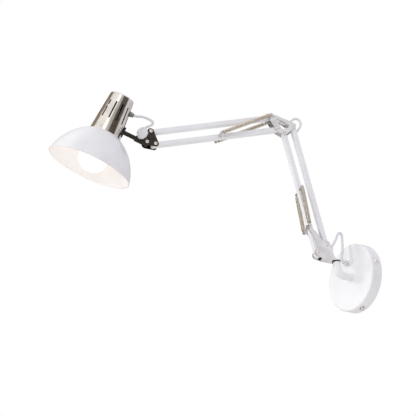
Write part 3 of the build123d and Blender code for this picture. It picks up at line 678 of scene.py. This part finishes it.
class SconceSpring(bpy.types.PropertyGroup):
    """Spring sizes."""

    radius: bpy.props.FloatProperty(
        name="Coil radius", description="Outside radius", default=4.0 * MM, unit="LENGTH"
    )
    wire: bpy.props.FloatProperty(
        name="Wire", description="Wire radius", default=0.62 * MM, unit="LENGTH"
    )
    across: bpy.props.FloatProperty(
        name="Across", description="Distance of each spring from the arm's plane",
        default=15.6 * MM, unit="LENGTH",
    )


# ---------------------------------------------------------------- camera and stage


CAMERA_RIGHT = np.array((0.56497, 0.8067, -0.17333))
CAMERA_UP = np.array((0.51313, -0.179, 0.83944))
CAMERA_BACK = np.array((0.64615, -0.5632, -0.51507))
CAMERA_AIM = np.array((-0.11455, -0.24597, 0.18281))


class SCONCE_OT_camera(bpy.types.Operator):
    """Camera below the lamp, in front and to its left, looking up at it."""

    bl_idname = "sconce.camera"
    bl_label = "Camera"

    def execute(self, context):
        look = context.scene.sconce_view
        data = bpy.data.cameras.new("camera")
        data.lens = look.lens
        data.sensor_width = 36.0
        data.clip_end = 100.0
        camera = bpy.data.objects.new("camera", data)
        turn = Matrix((CAMERA_RIGHT, CAMERA_UP, CAMERA_BACK)).transposed().to_4x4()
        camera.matrix_world = Matrix.Translation(CAMERA_AIM + CAMERA_BACK * look.distance) @ turn
        context.scene.collection.objects.link(camera)
        context.scene.camera = camera
        return {"FINISHED"}


def soft_light(name, place, aim, size, power, colour=(1, 1, 1)):
    """Square area light at a place, facing a point."""
    data = bpy.data.lights.new(name, "AREA")
    data.size = size
    data.energy = power
    data.color = colour
    light = bpy.data.objects.new(name, data)
    light.location = place
    light.rotation_euler = (Vector(aim) - Vector(place)).to_track_quat("-Z", "Y").to_euler()
    bpy.context.scene.collection.objects.link(light)
    return light


class SCONCE_OT_stage(bpy.types.Operator):
    """Pale floor far below the lamp, a white room and two soft lights."""

    bl_idname = "sconce.stage"
    bl_label = "Stage"

    def execute(self, context):
        look = context.scene.sconce_view
        half = 6.0
        corners = [(-half, -half, 0), (half, -half, 0), (half, half, 0), (-half, half, 0)]
        floor = add_mesh("floor", np.array(corners) - (0, 0, look.floor_drop), [(0, 1, 2, 3)], smooth=False)
        material, output = new_material("painted_floor_pale")
        speckle = noise(material, 40.0, 3.0)
        tone = blend_colours(material, speckle.outputs["Fac"], "E6E5E3", "EFEEEC")
        finish(material, output, Base_Color=tone, Roughness=0.6)
        floor.data.materials.append(material)
        centre = (-0.06, -0.25, 0.2)
        soft_light("key", (-1.6, -2.2, 2.2), centre, 1.6, look.key_power)
        soft_light("fill", (2.2, -1.6, 0.4), centre, 1.8, look.fill_power)
        world = bpy.data.worlds.new("white_room")
        world.use_nodes = True
        world.node_tree.nodes.clear()
        self.room(world)
        context.scene.world = world
        context.scene.view_settings.view_transform = "Standard"
        return {"FINISHED"}

    def room(self, world):
        """White room lit from above, left and in front. Glossy rays meet another world than the one that
        lights the lamp: a ring of soft boxes and dark gaps about the neck's axis, white overhead and dark
        brown underneath. Camera rays meet plain white."""
        where = node(world, "ShaderNodeTexCoord").outputs["Generated"]
        lit = node(world, "ShaderNodeBackground", {"Color": self.wash(world, where), "Strength": 1.04})
        mirrored = node(world, "ShaderNodeBackground", {"Color": self.boxes(world, where), "Strength": 1.0})
        plain = node(world, "ShaderNodeBackground", {"Color": srgb("FFFFFF"), "Strength": 1.0})
        path = node(world, "ShaderNodeLightPath")
        seen = node(
            world, "ShaderNodeMixShader",
            {0: path.outputs["Is Glossy Ray"], 1: lit.outputs[0], 2: mirrored.outputs[0]},
        )
        shown = node(
            world, "ShaderNodeMixShader",
            {0: path.outputs["Is Camera Ray"], 1: seen.outputs[0], 2: plain.outputs[0]},
        )
        node(world, "ShaderNodeOutputWorld", {"Surface": shown.outputs[0]})

    def share(self, world, where, direction):
        """Dot product of a ray's direction and a unit direction."""
        made = node(
            world, "ShaderNodeVectorMath", {0: where, 1: tuple(direction)}, operation="DOT_PRODUCT"
        )
        return made.outputs["Value"]

    def ramp(self, world, value, low, high, stops):
        """Colours at places along a value that runs from low to high."""
        placed = node(world, "ShaderNodeMapRange", {"Value": value, "From Min": low, "From Max": high})
        made = node(world, "ShaderNodeValToRGB", {"Fac": placed.outputs["Result"]})
        elements = made.color_ramp.elements
        for position, colour in stops[1:-1]:
            elements.new(position)
        for element, (position, colour) in zip(elements, stops):
            element.position = position
            element.color = srgb(colour)
        return made.outputs["Color"]

    def wash(self, world, where):
        """Light for matt surfaces: white from up, left and in front, lavender grey on the far side."""
        facing = self.share(world, where, unit(np.array((-0.45, -0.5, 0.74))))
        tones = [(0.0, "9D9AA8"), (0.45, "DCDAE2"), (0.8, "FFFFFF"), (1.0, "FFFFFF")]
        return self.ramp(world, facing, -1.0, 1.0, tones)

    def boxes(self, world, where):
        """What metal mirrors: bands by the angle about the neck's axis. The angle starts from a fixed
        direction, that of the main camera, and stays there when the camera moves."""
        front = unit(CAMERA_BACK - (CAMERA_BACK @ HEAD_Z) * HEAD_Z)
        beside = np.cross(HEAD_Z, front)
        around = node(
            world, "ShaderNodeMath",
            {0: self.share(world, where, beside), 1: self.share(world, where, front)}, operation="ARCTAN2",
        )
        bands = self.ramp(world, around.outputs[0], -math.pi, math.pi, [
            (0.0, "A29588"), (0.2, "8A7C6E"), (0.235, "FFFDFA"), (0.46, "FFFDFA"), (0.485, "4C423A"),
            (0.67, "54493F"), (0.70, "D9D6DC"), (1.0, "B9B3B4"),
        ])
        height = self.share(world, where, HEAD_Z)
        over = self.ramp(world, height, 0.45, 0.65, [(0.0, "000000"), (1.0, "FFFFFF")])
        under = self.ramp(world, height, -0.55, -0.25, [(0.0, "FFFFFF"), (1.0, "000000")])
        topped = node(
            world, "ShaderNodeMix", {"Factor": over, "A": bands, "B": srgb("F4F3F5")}, data_type="RGBA"
        )
        return enabled(node(
            world, "ShaderNodeMix",
            {"Factor": under, "A": enabled(topped), "B": srgb("6A5F55")}, data_type="RGBA",
        ))


# ---------------------------------------------------------------- pieces


class SCONCE_OT_cable(bpy.types.Operator):
    """White cable in nine stretches, each bending across one joint or lying in one tube."""

    bl_idname = "sconce.cable"
    bl_label = "Cable"

    def execute(self, context):
        size = context.scene.sconce_cable
        for name, cad_node, route, length, bodies in CABLES:
            line = spline_points(route)
            points, faces = sweep(line, size.radius, size.sides, SIDE)
            piece = add_mesh(name, points, faces)
            dress(piece, "white_pvc")
            if len(bodies) == 2:
                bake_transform(piece)
            else:
                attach(piece, bodies[0])
            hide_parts(cad_node)
        return {"FINISHED"}


class SCONCE_OT_springs(bpy.types.Operator):
    """Four pairs of half springs, each a close coil with a hook round its stud or pin."""

    bl_idname = "sconce.springs"
    bl_label = "Springs"

    def coil(self, eye, far, side, reach, radius, size):
        """Helix along the line between the eyes, a turn to each two wire radii, and a hook: an open ring
        about the stud that runs into the coil's first turn."""
        along = unit(far - eye)
        rise = np.cross(SIDE, along)
        origin = eye + SIDE * side * size.across
        pitch = 2.1 * size.wire
        start = 6.0 * MM
        mean = radius - size.wire
        turns = (reach - start) / pitch
        t = np.linspace(0, turns, int(turns * 14))[:, None]
        angle = TAU * t
        turned = np.cos(angle) * rise + np.sin(angle) * SIDE * side
        helix = origin + along * (start + pitch * t) + mean * turned
        hook_r = 2.0 * MM + 1.1 * size.wire
        sweep_angle = np.radians(np.linspace(-200, 100, 26))[:, None]
        hook = origin + hook_r * (np.cos(sweep_angle) * along + np.sin(sweep_angle) * rise)
        lead = part_way(hook[-1], helix[0], np.linspace(0.12, 0.9, 6)[:, None])
        return [
            sweep(helix, size.wire, 6, along),
            sweep(np.concatenate((hook, lead)), size.wire, 8, SIDE),
        ]

    def half(self, name, cad_node, body, eye, far, reach, radius, size):
        """One half spring on each side of the arm, as one piece that rides on a body."""
        items = [part for side in (1, -1) for part in self.coil(eye, far, side, reach, radius, size)]
        piece = add_mesh(name, *joined(items))
        dress(piece, "spring_steel")
        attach(piece, body)
        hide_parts(cad_node)

    def execute(self, context):
        size = context.scene.sconce_spring
        lower_stud, lower_pin = PIVOT["lower_spring_swing"], PIVOT["lower_spring_turn"]
        upper_stud = PIVOT["upper_spring_swing"]
        upper_pin = PIVOT["upper_bottom_pivot"] + UPPER * 131.8 * MM
        fine = size.radius - 0.15 * MM
        lower, upper = 68.0 * MM, 85.0 * MM
        self.half(
            "lower_spring_lower_half", "lower_spring_stud_half", "lower_spring_bottom",
            lower_stud, lower_pin, lower, size.radius, size,
        )
        self.half(
            "lower_spring_upper_half", "lower_spring_pin_half", "lower_spring_top",
            lower_pin, lower_stud, lower, fine, size,
        )
        self.half(
            "upper_spring_rear_half", "upper_spring_stud_half", "upper_spring_rear",
            upper_stud, upper_pin, upper, size.radius, size,
        )
        self.half(
            "upper_spring_front_half", "upper_spring_pin_half", "upper_bottom_arm",
            upper_pin, upper_stud, upper, fine, size,
        )
        return {"FINISHED"}


class SCONCE_OT_knob(bpy.types.Operator):
    """Six-lobed hand knob with rounded edges and a dished face, its hub, and its set screw."""

    bl_idname = "sconce.knob"
    bl_label = "Knob"

    def execute(self, context):
        origin = PIVOT["knob_turn"]
        axes = (HEAD_X, np.cross(SIDE, HEAD_X), SIDE)
        edge = 1.8
        profile = np.concatenate((
            [(0.2, 17.0), (4.0, 17.0)],
            arc((10.4 - edge, 17.0 + edge), edge, -90, 0, 7),
            arc((10.4 - edge, 30.0 - edge), edge, 0, 90, 7),
            [(6.6, 30.0), (5.9, 29.6), (5.5, 28.9), (2.0, 28.7), (0.2, 28.7)],
        ))
        segments = 96
        points, faces = lathe(profile, origin, axes, segments)
        rows = len(profile)
        turn = np.tile(np.arange(segments) * TAU / segments, rows)
        waist = 0.17 * np.clip((np.repeat(profile[:, 0], segments) - 6.7) / 3.0, 0, 1)
        share = 1 - waist * (1 - np.abs(np.cos(3 * turn)) ** 0.7)
        middle = origin + ((points - origin) @ SIDE)[:, None] * SIDE
        lobed = middle + (points - middle) * share[:, None]
        hub = lathe([(0.2, 9.5), (4.6, 9.5), (5.0, 9.9), (5.0, 17.2), (0.2, 17.2)], origin, axes, 48)
        knob = add_mesh("clamp_knob_lobed", *joined([(lobed, faces), hub]))
        shank = [(0.2, 4.4), (2.2, 4.4), (2.5, 4.7), (2.5, 9.6), (0.2, 9.6)]
        screw = add_mesh("clamp_knob_screw", *lathe(shank, origin, axes, 32))
        for piece, slot in ((knob, "clear_plastic"), (screw, "zinc_steel")):
            fix_normals(piece)
            dress(piece, slot)
            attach(piece, "knob")
            keep_sharp_edges(piece)
        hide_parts("clamp_knob")
        return {"FINISHED"}


class SCONCE_OT_shading_sleeve(bpy.types.Operator):
    """Thin dark sleeve inside the neck, behind its slots: a dark sheet that stands for the shade inside the
    neck.
    It is assumed, and has no CAD node: it keeps light from passing through the neck from slot to slot."""

    bl_idname = "sconce.heat_sleeve"
    bl_label = "Shading sleeve"

    def execute(self, context):
        low, high, gap, sheet = 12.0, 50.0, 2.6, 0.4
        outer = [(NECK_R - NECK_TAPER * z - gap, z) for z in (low, high)]
        inner = [(radius - sheet, z) for radius, z in reversed(outer)]
        profile = outer + inner + outer[:1]
        sleeve = add_mesh("neck_shading_sleeve", *lathe(profile, HEAD, (HEAD_X, HEAD_Y, HEAD_Z), 96))
        fix_normals(sleeve)
        # black sleeve: a dark sheet that stands for the shade inside the neck
        dress(sleeve, "black_plastic")
        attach(sleeve, "head")
        keep_sharp_edges(sleeve)
        return {"FINISHED"}


class SCONCE_OT_shade_rim(bpy.types.Operator):
    """Rolled bead round the shade's mouth."""

    bl_idname = "sconce.shade_rim"
    bl_label = "Shade rim"

    def execute(self, context):
        bead = arc((SHADE_R - 0.7, 0.9 - SHADE_H), 0.9, 0, 345, 24)
        segments = 256
        turn = np.arange(segments) * TAU / segments
        ring = np.cos(turn)[:, None] * HEAD_X + np.sin(turn)[:, None] * HEAD_Y
        points = HEAD + MM * (bead[:, None, :1] * ring[None] + bead[:, None, 1:] * HEAD_Z)
        rim = add_mesh("shade_rim_bead", points, grid_faces(len(bead), segments, closed=True))
        fix_normals(rim)
        dress(rim, "white_paint")
        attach(rim, "head")
        return {"FINISHED"}


# CAD nodes whose finish here isn't their record slot's
SPECIAL = {"neck": "neck_nickel", "wall_gland": "clear_plastic"}


class SCONCE_OT_finishes(bpy.types.Operator):
    """Gives every shown CAD node the finish of its slot, or its own where it has one."""

    bl_idname = "sconce.finishes"
    bl_label = "Finishes"

    def execute(self, context):
        for name, piece in frame["nodes"].items():
            for place in piece.material_slots:
                slot = SPECIAL.get(name, SLOT_OF[name])
                place.material = finish_for(slot)
        return {"FINISHED"}


class SCONCE_PT_panel(bpy.types.Panel):
    """Lists the pieces of the sconce."""

    bl_idname = "SCONCE_PT_panel"
    bl_label = "Swing Arm Sconce"
    bl_space_type = "VIEW_3D"
    bl_region_type = "UI"
    bl_category = "Sconce"

    def draw(self, context):
        for operator in OPERATORS:
            self.layout.operator(operator.bl_idname)
        for group in (context.scene.sconce_view, context.scene.sconce_finish):
            for key in group.bl_rna.properties.keys():
                if key not in ("rna_type", "name"):
                    self.layout.prop(group, key)


GROUPS = {
    "sconce_view": SconceView,
    "sconce_finish": SconceFinish,
    "sconce_cable": SconceCable,
    "sconce_spring": SconceSpring,
}
OPERATORS = (
    SCONCE_OT_camera,
    SCONCE_OT_cable,
    SCONCE_OT_springs,
    SCONCE_OT_knob,
    SCONCE_OT_shading_sleeve,
    SCONCE_OT_shade_rim,
    SCONCE_OT_finishes,
    SCONCE_OT_stage,
)


def register():
    for name, group in GROUPS.items():
        bpy.utils.register_class(group)
        setattr(bpy.types.Scene, name, bpy.props.PointerProperty(type=group))
    for operator in OPERATORS:
        bpy.utils.register_class(operator)
    bpy.utils.register_class(SCONCE_PT_panel)


def unregister():
    bpy.utils.unregister_class(SCONCE_PT_panel)
    for operator in OPERATORS:
        bpy.utils.unregister_class(operator)
    for name, group in GROUPS.items():
        delattr(bpy.types.Scene, name)
        bpy.utils.unregister_class(group)


def main():
    """Builds the sconce."""
    register()
    bpy.ops.sconce.camera()
    bpy.ops.sconce.cable()
    bpy.ops.sconce.springs()
    bpy.ops.sconce.knob()
    bpy.ops.sconce.heat_sleeve()
    bpy.ops.sconce.shade_rim()
    bpy.ops.sconce.finishes()
    bpy.ops.sconce.stage()


if __name__ == "__main__":
    main()
